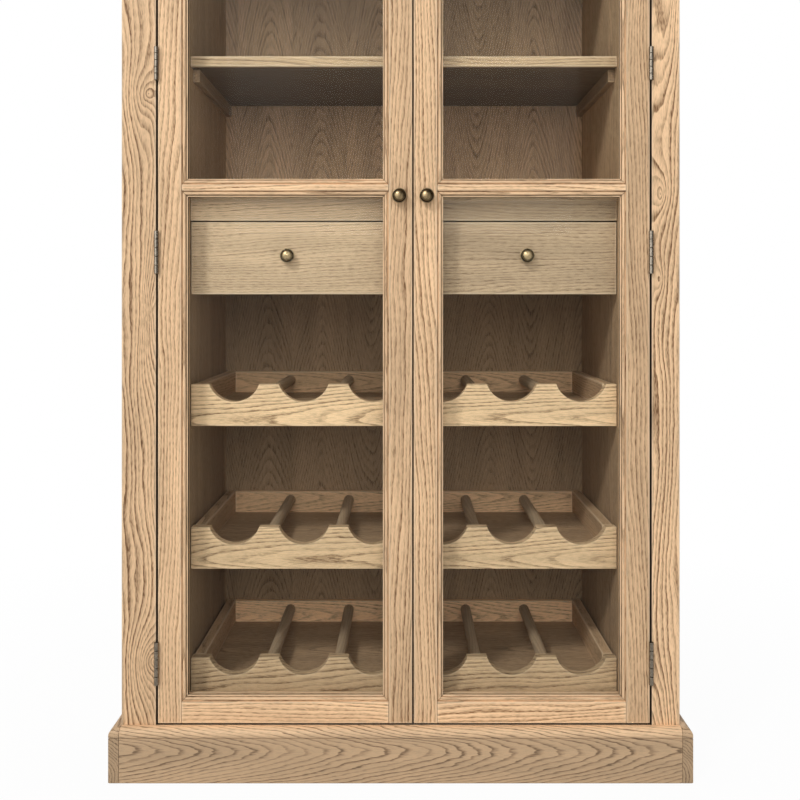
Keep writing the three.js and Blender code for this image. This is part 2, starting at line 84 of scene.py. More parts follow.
# Door frames, the moulding round their glass and the lath that paints the shade in the gap between the doors
STILE_FLAT = 39 * mm
BOTTOM_RAIL_FLAT = 35.5 * mm
TOP_RAIL_FLAT = 39 * mm
MOULDING = 10 * mm
QUIRK = 2 * mm
QUIRK_SLOPE = 0.4 * mm
BEAD = 2.5 * mm
BEAD_SINK = 0.8 * mm
HOLLOW = 1.4 * mm
HOLLOW_SLOPE = 0.2 * mm
HOLLOW_END = 2 * mm  # from the glass
FILLET = 0.8 * mm
LIP = 12 * mm
MITRE_GAP = 0.5 * mm
GLASS_EASE = 0.4 * mm
GLAZING_BEAD = 9 * mm
BEAD_PLAY = 0.2 * mm  # between a pane and its glazing beads
BEAD_INSET = 0.5 * mm
LATH_FRONT = 6 * mm
LATH_BACK = 12 * mm
LATH_PLAY = 0.8 * mm  # beside the right door, so that it can swing past

# Plinth and top board
PLINTH = 90 * mm
SKIRT = 17 * mm
SKIRT_JOINT = 0.7 * mm  # the dark line between front and side boards
SKIRT_HEEL = 0.6 * mm
SKIRT_TOE = 1.5 * mm
SKIRT_FLAT = 3 * mm  # a row so far under the groove keeps the board's face flat
GROOVE_DROP = 14.5 * mm
GROOVE = 1.4 * mm
GROOVE_DEPTH = 1 * mm
SKIRT_ROUND = 11 * mm
ROUND_STEPS = 12
TOP_OVERHANG = 24 * mm
TOP_FILLET = 4 * mm
TOP_COVE = 6 * mm

# Racks and drawers
RACK_CLEAT = 22 * mm
RACK_CLEAT_HEIGHT = 17 * mm
CRADLES = 6
FIRST_CRADLE = 74 * mm
LAST_CRADLE = 60.5 * mm
CRADLE_RADIUS = 45 * mm
CRADLE_DEPTH = 30 * mm
CRADLE_STEPS = 25
CRADLE_LIP = (3 * mm, 0.1 * mm)  # rows that hold the top flat beside a cradle
RACK_EASE = 1 * mm
TRAY_FLOOR = 10 * mm
TRAY_SIDE = 18 * mm
TRAY_BACK = 12 * mm
DOWEL = 10 * mm
DOWEL_DROP = 17 * mm
BOX_BOARD = 12 * mm

# Hinges and knobs
HINGE_GAP = 3 * mm
LEAF = 1.05 * mm
LEAF_DEPTH = 19 * mm
LEAF_EASE = 0.2 * mm
BARREL = 4 * mm
KNUCKLES = 5
KNUCKLE_EASE = 0.5 * mm
SCREW = [(0, 0), (2.6 * mm, 0), (2.6 * mm, 0.05 * mm), (1.5 * mm, 0.22 * mm), (0, 0.22 * mm)]
SCREW_PLACES = (0.18, 0.5, 0.82)  # shares of the leaf's length
SCREW_DEPTH = 0.6  # share of the leaf's depth
ROSE_SHARE = 0.67  # of the knob's radius, as for neck and dome
NECK_SHARE = 0.36
DOME_SHARE = 0.9
RIM_SHARE = 0.6  # of the knob's reach
ROSE_ROUND = 0.9 * mm
NECK_FOOT = 2.2 * mm
NECK_TOP = 3.4 * mm  # under the rim
NECK_FLARE = 0.35
RIM_ROUND = 0.8 * mm

# How the boards are finished
EASE = 0.9 * mm  # rounding of a board's edges
DOOR_EASE = 0.7 * mm
FLUSH = 0.02 * mm  # the same where boards lie flush
WORN_STRIP = 3 * mm  # width of the rubbed strip beside a rounded edge
CORNER = np.radians([0, 30, 60, 90])
CORNER_ROWS = len(CORNER) + 2  # rows or columns at a board's corner
# How far each column round a board belongs to the narrow face at its low and its high side
TOWARDS = [0, 0, 0.6, 1, 1, 1]
LOW_FACE = np.array([0] * CORNER_ROWS + TOWARDS + TOWARDS[::-1] + [0] * CORNER_ROWS)
HIGH_FACE = np.roll(LOW_FACE, 2 * CORNER_ROWS)

# Tones that multiply a board's colour: some make boards differ at random, as on the real cabinet; others are
# painted light and shade, as said at each
GAP_SHADE_TONE = 0.08  # painted shade on the face frame's edges beside the doors, for the dark gaps
DOOR_EDGE_SHADE = 0.6  # painted shade on the doors' own edges, for the dark gaps beside them
SIDE_TONES = (0.97, 0.92, 0.95)  # of the boards of an outer side
FACE_TONES = {"left": 0.96, "right": 1.12, "rail": 0.98}
BACK_LIGHT_AND_SHADE = (0.82, 1.28)  # painted light and shade on the leaves' inner face: darker below the seam, lighter above
# painted shade: the shelf board is seen from under it
SHELF_SHADE_TONE = 0.3
LIPPING_TONE = 0.78
DRAWER_SHELF_TONE = 0.9
RAIL_SHADE_TONES = (0.98, 0.63)  # left and right of the joint; the right one painted darker as shade
# painted shade: the left lining darker than the right
LINING_SHADE_TONES = {"left": 0.8, "right": 0.94}
LINING_LIGHT_FADE = (0.78, 1.55)  # painted light, lighter from the foot to the head of the inner sides
CLEAT_TONE = 0.65
POST_TONE = 1.5
RACKS = (("rack_1", 1.12, 1.5), ("rack_2", 0.98, 1.7), ("rack_3", 0.8, 2.1))  # front and tray's back: the fronts painted darker towards the floor as shade, the tray backs painted lighter as light
TRAY_FLOOR_TONE = 0.9
TRAY_SIDE_TONE = 1.15
DOWEL_TONE = 0.75
STILE_TONES = {"left": (1.02, 0.89), "right": (0.85, 1.02)}  # hinge stile, meeting stile
DOOR_RAIL_TONES = {"bottom": 1.18, "middle": 1.12, "top": 1.1}
# painted shade: the lath stands for the dark gap
LATH_SHADE_TONE = 0.02
# painted shade: the right drawer's front darker than the left
DRAWER_SHADE_TONES = {"left": 0.86, "right": 0.69}
BOX_FLOOR_TONE = 1.1
BOX_WALL_TONE = 1.2
# Painted light and shade on the plinth: face darker near the floor, rounded top and top lighter, sides
# darker
SKIRT_SHADE_TONE = 0.65
SKIRT_ROUND_LIGHT = (0.88, 1.26)  # painted light, from the foot to the head of the rounded top
SKIRT_TOP_LIGHT = 1.2
SKIRT_SIDE_SHADE = 0.78
# How strongly painted shade darkens the moulding's hollows, by the way they face: least where they face up,
# less where they face left, towards the lamps
SHADE_BY_FACING = {(1, 0): 1.0, (-1, 0): 0.6, (0, 1): 0.15, (0, -1): 1.1}

# The wood's figure: knots, and bends as (width, length and height of their waves) in millimetres
KNOTS = [f"knot_{i}" for i in (1, 2, 3, 4)]
NO_KNOT = (9, 9, 1, 1, 0)
FIGURE_COLUMNS = 4 + 3 * len(KNOTS)  # grain, rise and knots
FACE_BENDS = ((70, 330, 70), (17, 80, 9), (5, 30, 2))
DOOR_BENDS = ((70, 400, 34), (17, 90, 6), (5, 30, 2))
INSIDE_BENDS = ((60, 380, 22), (15, 90, 3))
PLINTH_BENDS = ((70, 330, 30), (17, 80, 6), (5, 30, 3))
# Darkness across a ring as (place, value): a sharp start, then a fade
RING_START = ((0.0, 0.12), (0.07, 0.95))
RING_FADE = ((0.13, 1.0), (0.35, 0.45), (0.63, 0.08))

AMBIENT = 0.24  # what the room gives to every side
WINDOW = (-0.58, -0.77, 0.27)  # the way to the broad light that metal mirrors

chance = np.random.default_rng(11)


def linear(colour):
    """An sRGB hex colour as linear red, green, blue and alpha."""
    srgb = np.array([int(colour[i : i + 2], 16) for i in (1, 3, 5)]) / 255
    rgb = np.where(srgb <= 0.04045, srgb / 12.92, ((srgb + 0.055) / 1.055) ** 2.4)
    return (*rgb.tolist(), 1.0)


def add_node(tree, kind, inputs=(), out=0, stops=(), **settings):
    """Adds a node with its settings. Its kind may name its operation too. Each input, in order or by
    name, is linked to a socket or set to a value. Stops are a ramp's greys as (place, value). Gives
    the output that out names, or all outputs where it is None."""
    kind, *operation = kind.split()
    node = tree.nodes.new("ShaderNode" + kind)
    if operation:
        node.operation = operation[0]
    for name, value in settings.items():
        setattr(node, name, value)
    for name, value in (inputs if isinstance(inputs, dict) else dict(enumerate(inputs))).items():
        if isinstance(value, bpy.types.NodeSocket):
            tree.links.new(value, node.inputs[name])
        else:
            node.inputs[name].default_value = value
    for _ in stops[2:]:
        node.color_ramp.elements.new(0.5)
    for i, (place, value) in enumerate(stops):
        node.color_ramp.elements[i].position = place
        node.color_ramp.elements[i].color = (value, value, value, 1)
    return node.outputs if out is None else node.outputs[out]


def new_material(name):
    """An empty material and the function that adds nodes to it."""
    material = bpy.data.materials.new(name)
    material.use_nodes = True
    material.node_tree.nodes.clear()
    return material, partial(add_node, material.node_tree)


def grain_noise(add, vector, across, along, detail=1.0):
    """Noise whose grains are so wide across the wood and so long along it, from 0 to 1."""
    size = (1 / across, 1 / across, 1 / along)
    place = add("VectorMath MULTIPLY", [vector, size])
    return add("TexNoise", {"Vector": place, "Scale": 1.0, "Detail": detail, "Roughness": 0.55}, "Fac")


def growth(add, grain, bends):
    """How far out in the tree each point grew: its distance from the pith, plus the board's rise
    along the log, plus a peak round each knot that falls off as exp(-distance in the knot's own
    measure), plus slow and quick bends of so many millimetres."""
    flat = add("VectorMath MULTIPLY", [grain, (1, 1, 0)])
    total = add("VectorMath LENGTH", [flat], "Value")
    rise = add("Attribute", out="Fac", attribute_name="rise")
    total = add("Math ADD", [total, rise])
    for knot in KNOTS:
        offset = add("Attribute", out="Vector", attribute_name=knot)
        x, y, height = add("SeparateXYZ", [offset], out=None)
        far = add("Math MULTIPLY", [y, y])
        far = add("Math MULTIPLY_ADD", [x, x, far])
        far = add("Math SQRT", [far])
        peak = add("Math EXPONENT", [add("Math MULTIPLY", [far, -1.0])])
        total = add("Math MULTIPLY_ADD", [peak, height, total])
    for across, along, height in bends:
        noise = grain_noise(add, grain, across * mm, along * mm)
        noise = add("Math SUBTRACT", [noise, 0.5])
        total = add("Math MULTIPLY_ADD", [noise, height * mm, total])
    return total


def oak(name, colours, ring, contrast, roughness, bends=FACE_BENDS, fade=1.0):
    """European oak, planed and oiled. The eye gets growth rings as wavy lines with one sharp side,
    broken up by short open pores, slow changes of tone and pale, rubbed edges."""
    material, add = new_material(name)
    light, dark, pore = (linear(colour) for colour in colours)
    grain = add("Attribute", out="Vector", attribute_name="grain")
    wear = add("Attribute", out="Fac", attribute_name="wear")
    tone = add("Attribute", out="Fac", attribute_name="tone")

    # Rings: the whole part of the count is the year, the rest the place across its ring
    count = add("Math DIVIDE", [growth(add, grain, bends), ring])
    year = add("Math FLOOR", [count])
    year = add("TexWhiteNoise", {"W": year}, "Value", noise_dimensions="1D")
    depth = add("Math MULTIPLY_ADD", [year, 0.6, 0.4])
    place = add("Math FRACT", [count])
    faded = [(RING_START[1][0] + fade * at, value) for at, value in RING_FADE]
    line = add("ValToRGB", [place], stops=[*RING_START, *faded, (1.0, 0.0)])
    line = add("Math MULTIPLY", [line, depth])

    # Pores are 0.3 mm wide; they are drawn 1.5 mm wide, as fine as the picture can show
    streaks = grain_noise(add, grain, 1.5 * mm, 11 * mm)
    pores = add("ValToRGB", [streaks], stops=[(0.45, 0.0), (0.62, 1.0)])
    cloud = grain_noise(add, grain, 34 * mm, 260 * mm, 3.0)
    breaks = add("Math MULTIPLY_ADD", [pores, 0.5, 0.72])
    broken = add("Math MULTIPLY", [line, breaks])

    # Colour: light wood, dark lines, darker pores, then the board's tone and its rubbed edges
    share = add("Clamp", [add("Math MULTIPLY", [broken, contrast])])
    wood = add("MixRGB", [share, light, dark])
    pore_share = add("Math MULTIPLY_ADD", [line, 0.35, 0.14])
    pore_share = add("Math MULTIPLY", [pores, pore_share])
    wood = add("MixRGB", [pore_share, wood, pore])
    clouded = add("ValToRGB", [cloud], stops=[(0.3, 0.84), (0.7, 1.08)])
    level = add("Math MULTIPLY", [tone, clouded])
    wood = add("VectorMath SCALE", {0: wood, "Scale": level})
    patchy = add("ValToRGB", [streaks], stops=[(0.3, 0.15), (0.6, 0.5)])
    rub = add("Math MULTIPLY", [wear, patchy])
    wood = add("MixRGB", [rub, wood, linear("#efd9b8")])

    relief = {"Height": add("Math ADD", [broken, pores]), "Strength": 0.35, "Distance": 0.25 * mm}
    surface = add("BsdfPrincipled", {
        "Base Color": wood,
        "Roughness": add("Math MULTIPLY_ADD", [pores, 0.15, roughness]),
        "Specular IOR Level": 0.3,
        "Normal": add("Bump", relief, invert=True),
    })
    add("OutputMaterial", [surface], out=None)
    return material


def float_glass():
    """Clear float glass. The eye gets only a trace of reflection, so its IOR is matched lower than
    such glass has; light shines straight through it."""
    material, add = new_material("float_glass")
    clear = {"Base Color": linear("#fbfefd"), "Roughness": 0.0, "IOR": 1.12, "Transmission Weight": 1.0}
    pane = add("BsdfPrincipled", clear)
    rays = add("LightPath", out=None)
    passing = add("Math MAXIMUM", [rays["Is Shadow Ray"], rays["Is Diffuse Ray"]])
    surface = add("MixShader", [passing, pane, add("BsdfTransparent")])
    add("OutputMaterial", [surface], out=None)
    return material


def aged_metal(name, rubbed_and_sheen, patina, roughness):
    """Cast or drawn metal with a brown patina. The eye gets a dull, mottled brown, rubbed bright where hands
    and cloths reach it, and bright where the wear attribute paints reflection, as on the knobs' rims. The
    mottling's grains are about 4 mm wide."""
    material, add = new_material(name)
    place = add("TexCoord", out="Object")
    wear = add("Attribute", out="Fac", attribute_name="wear")
    mottle = add("TexNoise", {"Vector": place, "Scale": 260.0, "Detail": 4.0}, "Fac")
    patchy = add("ValToRGB", [mottle], stops=[(0.3, 0.55), (0.65, 1.0)])
    shown = add("Math MULTIPLY", [wear, patchy])
    gloss = [(0.3, roughness - 0.06), (0.7, roughness + 0.12)]
    surface = add("BsdfPrincipled", {
        "Base Color": add("MixRGB", [shown, linear(patina), linear(rubbed_and_sheen)]),
        "Roughness": add("ValToRGB", [mottle], stops=gloss),
        "Metallic": 1.0,
        "Normal": add("Bump", {"Height": mottle, "Strength": 0.15, "Distance": 0.2 * mm}),
    })
    add("OutputMaterial", [surface], out=None)
    return material


# Each finish is a material and its slot. Colours of an oak are light wood, dark lines and pores:
# bold lines on the case, closer ones on plinth and doors, softer ones on racks and drawers, and
# darker brown inside
bold = ("#f0caa0", "#765334", "#62442a")
close = ("#f0caa0", "#86603b", "#6e4e33")
warm = ("#e8c79c", "#83623f", "#6b5038")
soft = ("#e3c59f", "#8c6e50", "#765b42")
darker_inside = ("#c0a07c", "#6d5540", "#4c3a2a")
face_oak = oak("planed_oak_face", bold, 7.5 * mm, 1.1, 0.5), "oak_case"
plinth_oak = oak("planed_oak_plinth", bold, 5.5 * mm, 1.1, 0.5, PLINTH_BENDS, 0.6), "oak_case"
rack_oak = oak("planed_oak_racks", warm, 6.5 * mm, 0.85, 0.5, DOOR_BENDS, 0.8), "oak_case"
door_oak = oak("planed_oak_door", close, 6 * mm, 0.9, 0.48, DOOR_BENDS), "oak_door"
drawer_oak = oak("planed_oak_drawer", soft, 5 * mm, 0.55, 0.5, DOOR_BENDS), "oak_case"
inner_oak = oak("darker_oak_inside", darker_inside, 5 * mm, 0.5, 0.6, INSIDE_BENDS), "oak_inside"
clear_glass = float_glass(), "glass"
brass = aged_metal("cast_brass_antiqued", "#a8916d", "#2e251a", 0.32), "aged_brass"
bronze = aged_metal("drawn_steel_bronzed", "#9b9183", "#2a241e", 0.2), "hinge_steel"


def timber(along, across, side, depth, rise, knots=(), start=None):
    """Where points lie in the log that a board was sawn from. The log's pith runs along the board,
    so far to one side of its middle and so far under its face, and the rings rise by so much along
    it. A knot is (place across, place along, half width, half length, height of its peak), and
    start is how far up its log the board was cut."""
    through = 3 - along - across
    if start is None:
        start = chance.uniform(0, 9)

    def place(points, middle):
        local = points - middle
        columns = [local[:, across] + side, local[:, through] + depth, points[:, along] + start]
        columns.append(rise * points[:, along])
        for x, y, half_width, half_length, height in (*knots, *[NO_KNOT] * (len(KNOTS) - len(knots))):
            columns.append((points[:, across] - x) / half_width)
            columns.append((points[:, along] - y) / half_length)
            columns.append(np.full(len(points), height))
        return np.stack(columns, axis=1)

    return place


def plain_sawn(along, across, rise=0.09):
    """A board from near the log's middle, with arched figure on its face."""
    rise *= chance.choice([-1, 1])
    return timber(along, across, chance.uniform(-14, 14) * mm, chance.uniform(18, 34) * mm, rise)


def rift_sawn(along, across):
    """A board from the log's flank, with straight figure."""
    turn = chance.choice([-1, 1])
    rise = 0.03 * chance.choice([-1, 1])
    return timber(along, across, turn * chance.uniform(90, 150) * mm, chance.uniform(20, 60) * mm, rise)


def loft(rings, wear, wood=None, tone=1.0):
    """A closed form through rings of points, row by row: each two neighbouring rings are joined by
    quads, and the first and the last ring are closed by a fan round their middle. Gives its points,
    faces, figure, wear and tones."""
    rows, columns, _ = rings.shape
    index = np.arange(rows * columns).reshape(rows, columns)
    beside = np.roll(index, -1, axis=1)
    quads = np.stack([index[:-1], beside[:-1], beside[1:], index[1:]], axis=-1).reshape(-1, 4)
    ends = rows * columns + np.arange(2)
    first_fan = np.stack([beside[0], index[0], np.full(columns, ends[0])], axis=1)
    last_fan = np.stack([index[-1], beside[-1], np.full(columns, ends[1])], axis=1)
    points = np.concatenate([rings.reshape(-1, 3), rings[[0, -1]].mean(axis=1)])
    worn = np.append(np.broadcast_to(wear, (rows, columns)), [0.0, 0.0])
    middle = (points.min(axis=0) + points.max(axis=0)) / 2
    figure = wood(points, middle) if wood else np.zeros((len(points), FIGURE_COLUMNS))
    tones = np.append(np.broadcast_to(tone, (rows, columns)), [1.0, 1.0])
    return points, quads.tolist() + first_fan.tolist() + last_fan.tolist(), figure, worn, tones


def rounded_section(half, ease, strip):
    """The columns round a rounded rectangle: for each of its corners a quarter turn, and a point on
    the flat before and after it. Gives the columns' core points, directions and wear."""
    cores, turns, worn = [], [], []
    corner = half - ease
    for quarter, signs in enumerate([(1, 1), (-1, 1), (-1, -1), (1, -1)]):
        core = corner * signs
        shift = strip * signs
        inwards = [np.array([0, -shift[1]]), np.array([-shift[0], 0])]
        before, after = inwards if quarter % 2 == 0 else inwards[::-1]
        turn = quarter * pi / 2 + CORNER
        cores += [core + before, *([core] * len(CORNER)), core + after]
        turns += [turn[0], *turn, turn[-1]]
        worn += [0, *([1] * len(CORNER)), 0]
    turns = np.array(turns)
    return np.array(cores), np.stack([np.cos(turns), np.sin(turns)], axis=1), np.array(worn, float)


def rounded_ends(half, ease, strip):
    """The rows along a board: its place along the length, its share of the rounding and its wear.
    Each end has a row set in on its face, a quarter turn, and a row behind the worn strip."""
    core = half - ease
    first = np.array([-half, *(-core - ease * np.cos(CORNER)), -core + strip])
    share = [0, *np.sin(CORNER), 1]
    worn = [0, *([1] * len(CORNER)), 0]
    return np.array([[*first, *-first[::-1]], share + share[::-1], worn + worn[::-1]])


def board(low, high, wood, along, tone=1.0, ease=EASE, rub=1.0, edge_shades=(1, 1), **spans):
    """A board with rounded edges: every point is a corner of a smaller box plus a ball's radius in
    the direction that the rows and columns give, so edges are quarter rounds and corners are balls.
    Its narrow face at the low and at the high side may have a painted shade of its own, for edges in a dark
    gap, and then isn't worn.
    A span x, y or z = (from, to) replaces that of the box from low to high."""
    low, high = np.array(low), np.array(high)
    for axis, name in enumerate("xyz"):
        low[axis], high[axis] = spans.get(name, (low[axis], high[axis]))
    middle, half = (low + high) / 2, (high - low) / 2
    ease = min(ease, 0.4 * half.min())
    strip = np.minimum(WORN_STRIP, 0.5 * (half - ease))
    axes = [axis for axis in range(3) if axis != along]
    cores, turns, column_wear = rounded_section(half[axes], ease, strip[axes])
    place, share, row_wear = rounded_ends(half[along], ease, strip[along])
    inner = half[axes] - ease - strip[axes]
    rings = np.empty((len(place), len(cores), 3))
    rings[:, :, axes] = cores + ease * share[:, None, None] * turns
    rings[[[0], [-1]], :, axes] = np.clip(cores, -inner, inner).T
    rings[:, :, along] = place[:, None]
    worn = np.maximum(column_wear[None, :] * (share[:, None] > 0), row_wear[:, None])
    for edge_shade, on_edge in zip(edge_shades, (LOW_FACE, HIGH_FACE)):
        tone = tone * (1 + (edge_shade - 1) * on_edge)
        worn = worn * (1 - on_edge * (edge_shade != 1))
    return loft(rings + middle, rub * worn, wood, tone)


def placed(name, data):
    """A new object in the scene."""
    made = bpy.data.objects.new(name, data)
    bpy.context.collection.objects.link(made)
    return made


def piece(name, forms, finish, body, node=None):
    """Joins forms into one mesh with its grain, wear and tone, and lets it stand for the node.
    Doubles merge inside a form, not between boards that touch, which keep their own grain."""
    material, slot = finish
    form_points, form_faces, figures, worn, tones = zip(*forms)
    starts = np.cumsum([0] + [len(points) for points in form_points])
    faces = [[i + start for i in face] for start, some in zip(starts, form_faces) for face in some]
    mesh = bpy.data.meshes.new(name)
    mesh.from_pydata(np.concatenate(form_points).tolist(), [], faces)
    figure = np.concatenate(figures)
    for label, first in (("grain", 0), *zip(KNOTS, range(4, FIGURE_COLUMNS, 3))):
        layer = mesh.attributes.new(label, "FLOAT_VECTOR", "POINT")
        layer.data.foreach_set("vector", figure[:, first : first + 3].ravel())
    numbers = {"rise": figure[:, 3], "wear": np.concatenate(worn), "tone": np.concatenate(tones)}
    for label, values in numbers.items():
        layer = mesh.attributes.new(label, "FLOAT", "POINT")
        layer.data.foreach_set("value", values)
    whole = bmesh.new()
    whole.from_mesh(mesh)
    every = list(whole.verts)
    for first, last in zip(starts[:-1], starts[1:]):
        bmesh.ops.remove_doubles(whole, verts=every[first:last], dist=0.001 * mm)
    bmesh.ops.recalc_face_normals(whole, faces=whole.faces)
    whole.to_mesh(mesh)
    whole.free()
    mesh.shade_smooth()
    mesh.set_sharp_from_angle(angle=np.radians(38))
    mesh.materials.append(material)
    made = placed(name, mesh)
    shading = made.modifiers.new("flats_stay_flat", "WEIGHTED_NORMAL")
    shading.keep_sharp = True
    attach(made, body)
    if node:
        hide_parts(node)


def corners(node):
    """The lowest and the highest corner of a solid, as the rows of an array."""
    return np.array(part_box(node))


def carried(section, start, end, out, up, mitres, wood, tone=1.0, wear=0.25):
    """A section carried straight from start to end. Its first axis points along out, its second
    along up. A mitre of 1 shortens that end as the section goes out, -1 lengthens it, 0 is square."""
    start, end, out, up = (np.asarray(item, float) for item in (start, end, out, up))
    along = (end - start) / np.linalg.norm(end - start)
    flat = section[:, :1] * out + section[:, 1:] * up
    reach = np.maximum(section[:, :1], 0) * along
    rings = np.stack([start + flat + mitres[0] * reach, end + flat - mitres[1] * reach])
    return loft(rings, wear, wood, tone)


def round_corner(section, stops, wood, tone=1.0, wear=0.25):
    """A section carried through stops at floor height. Each stop is a place and the direction of
    out there, as long as its mitre needs: a point is place + (section's first) * out, at its second."""
    places = np.array([place for place, _ in stops], float)
    outs = np.array([out for _, out in stops], float)
    rings = np.empty((len(stops), len(section), 3))
    rings[:, :, :2] = places[:, None] + section[None, :, :1] * outs[:, None]
    rings[:, :, 2] = section[:, 1]
    return loft(rings, wear, wood, tone)


def arc(middle, radius, first, last, steps):
    """Points on a round arc about middle, from one angle to another, in degrees."""
    turn = np.radians(np.linspace(first, last, steps))
    return np.asarray(middle) + radius * np.stack([np.cos(turn), np.sin(turn)], axis=1)


def turned(profile, foot, axis, wood=None, tone=1.0, wear=0.5, steps=24):
    """A turned form: each (radius, height) of the profile is a circle about the axis through foot.
    Wear is one number or one for each circle."""
    profile = np.asarray(profile, float)
    turn = np.linspace(0, 2 * pi, steps, endpoint=False)
    rings = np.empty((len(profile), steps, 3))
    first, second = [other for other in range(3) if other != axis]
    rings[:, :, first] = foot[first] + profile[:, :1] * np.cos(turn)
    rings[:, :, second] = foot[second] + profile[:, :1] * np.sin(turn)
    rings[:, :, axis] = foot[axis] + profile[:, 1:]
    worn = np.ones(len(profile)) * wear
    return loft(rings, worn[:, None], wood, tone)


SHELVES = ("shelf_1", "shelf_2", "shelf_3")
shelf_feet = [corners(shelf)[0][2] for shelf in SHELVES]
shelf_feet.append(corners("drawer_shelf")[1][2] - SHELF_BOARD)
rack_tray_feet = [corners(f"rack_{i}_tray")[0][2] for i in (1, 2, 3)]
runner_top = corners("drawer_left_box")[0][2] - SEAT
rail_drop = corners("drawer_shelf")[0][2]  # the foot of the rail over the drawers

# The outer sides, glued up from boards
for side in ("left", "right"):
    low, high = corners(f"side_panel_{side}")
    seams = np.linspace(low[1], high[1], len(SIDE_TONES) + 1)
    side_boards = [
        board(low, high, sawn(2, 1), 2, tone, FLUSH, 0, y=seams[i : i + 2])
        for i, (sawn, tone) in enumerate(zip((rift_sawn, plain_sawn, rift_sawn), SIDE_TONES))
    ]
    piece(f"side_{side}_boards", side_boards, face_oak, "case", f"side_panel_{side}")

# The face frame, with knots in both stiles, given in millimetres and across from the doorway
low, high = corners("face_frame")
left_inner, right_inner = low[0] + LEFT_FACE_STILE, high[0] - RIGHT_FACE_STILE
left_knots = [(-13, 1142, 13, 20, 26), (-8, 1142, 55, 75, 16), (-6, 781, 26, 110, 40), (-4, 195, 38, 52, 66)]
right_knots = [(30, 1330, 24, 220, 58), (15, 975, 14, 34, 34), (13, 833, 12, 32, 28), (0, 30, 45, 120, 50)]
left_knots = np.array(left_knots) * mm + [left_inner, 0, 0, 0, 0]
right_knots = np.array(right_knots) * mm + [right_inner, 0, 0, 0, 0]
left_wood = timber(2, 0, 111.2 * mm, 43.7 * mm, 0.03, left_knots, 2.1177)
right_wood = timber(2, 0, -75 * mm, 60 * mm, 0.03, right_knots, 4.3526)
left_span, right_span = (low[0], left_inner), (right_inner, high[0])
rail_spans = {"x": (left_inner, right_inner), "z": (high[2] - FACE_RAIL, high[2])}
# The stiles' edges beside the doors carry painted shade, for the dark gaps
face_boards = [
    board(low, high, left_wood, 2, FACE_TONES["left"], edge_shades=(1, GAP_SHADE_TONE), x=left_span),
    board(low, high, right_wood, 2, FACE_TONES["right"], edge_shades=(GAP_SHADE_TONE, 1), x=right_span),
    board(low, high, rift_sawn(0, 2), 0, FACE_TONES["rail"], **rail_spans),
]
piece("face_frame_boards", face_boards, face_oak, "case", "face_frame")

# The back: leaves of veneer in two rows that meet behind the drawers, with painted light and shade on their
# inner face
low, high = corners("back_panel")
seams = np.linspace(low[0], high[0], BACK_LEAVES + 1)
back_leaves = []
for leaf_span in zip(seams[:-1], seams[1:]):
    for row_span, tone in zip(((low[2], rail_drop), (rail_drop, high[2])), BACK_LIGHT_AND_SHADE):
        leaf_wood = plain_sawn(2, 0, rise=0.2)
        leaf_shade_and_tone = np.repeat([1, tone], 2 * CORNER_ROWS) * chance.uniform(0.95, 1.05)
        back_leaves.append(board(low, high, leaf_wood, 2, leaf_shade_and_tone, FLUSH, 0, x=leaf_span, z=row_span))
piece("veneered_back", back_leaves, inner_oak, "case", "back_panel")

low, high = corners("floor_panel")
piece("floor_board", [board(low, high, plain_sawn(0, 1), 0)], inner_oak, "case", "floor_panel")

# The shelves: a veneered board, painted dark as the shade under it, behind a solid lipping
for shelf in SHELVES:
    low, high = corners(shelf)
    seam = low[1] + LIPPING
    lipping = board(low, high, rift_sawn(0, 2), 0, LIPPING_TONE, y=(low[1], seam))
    veneered = board(low, high, rift_sawn(0, 1), 0, SHELF_SHADE_TONE, FLUSH, 0, y=(seam, high[1]))
    piece(f"{shelf}_lipping", [lipping], rack_oak, "case", shelf)
    piece(f"{shelf}_board", [veneered], inner_oak, "case", shelf)

# The board over the drawers, and the rail under it in two boards, the right one painted darker as shade
low, high = corners("drawer_shelf")
shelf_foot = high[2] - SHELF_BOARD
shelf_boards = [board(low, high, rift_sawn(0, 1), 0, DRAWER_SHELF_TONE, z=(shelf_foot, high[2]))]
rail_spans = {"y": (low[1], low[1] + SHELF_RAIL), "z": (low[2], shelf_foot)}
for span, tone in zip(((low[0], RAIL_JOINT), (RAIL_JOINT, high[0])), RAIL_SHADE_TONES):
    shelf_boards.append(board(low, high, rift_sawn(0, 2), 0, tone, x=span, **rail_spans))
piece("drawer_shelf_boards", shelf_boards, drawer_oak, "case", "drawer_shelf")

# The top board: a slab, and its moulded edge along the front and both ends
low, high = corners("top_board")
slab_low, slab_high = low + [TOP_OVERHANG, TOP_OVERHANG, 0], high - [TOP_OVERHANG, 0, 0]
thick = high[2] - low[2]
nose = (thick - TOP_FILLET - TOP_COVE) / 2
nose_middle = (TOP_OVERHANG - nose, thick - TOP_FILLET - nose)
cove = arc((2 * TOP_COVE, 0), TOP_COVE, 180, 90, 6)
edge = np.concatenate([[(0, 0)], cove, arc(nose_middle, nose, -90, 90, 13), [(0, thick)]])
(front_left, front_right), (back_left, back_right) = (
    [(x, y, low[2]) for x in (slab_low[0], slab_high[0])] for y in (slab_low[1], slab_high[1])
)
edge_runs = [
    carried(edge, start, end, out, (0, 0, 1), mitres, rift_sawn(along, 1 - along))
    for start, end, out, mitres, along in (
        (front_right, front_left, (0, -1, 0), (-1, -1), 0),
        (front_left, back_left, (-1, 0, 0), (-1, 0), 1),
        (back_right, front_right, (1, 0, 0), (0, -1), 1),
    )
]
slab = board(slab_low, slab_high, plain_sawn(0, 1), 0)
piece("top_slab_and_edge", [slab, *edge_runs], face_oak, "case", "top_board")

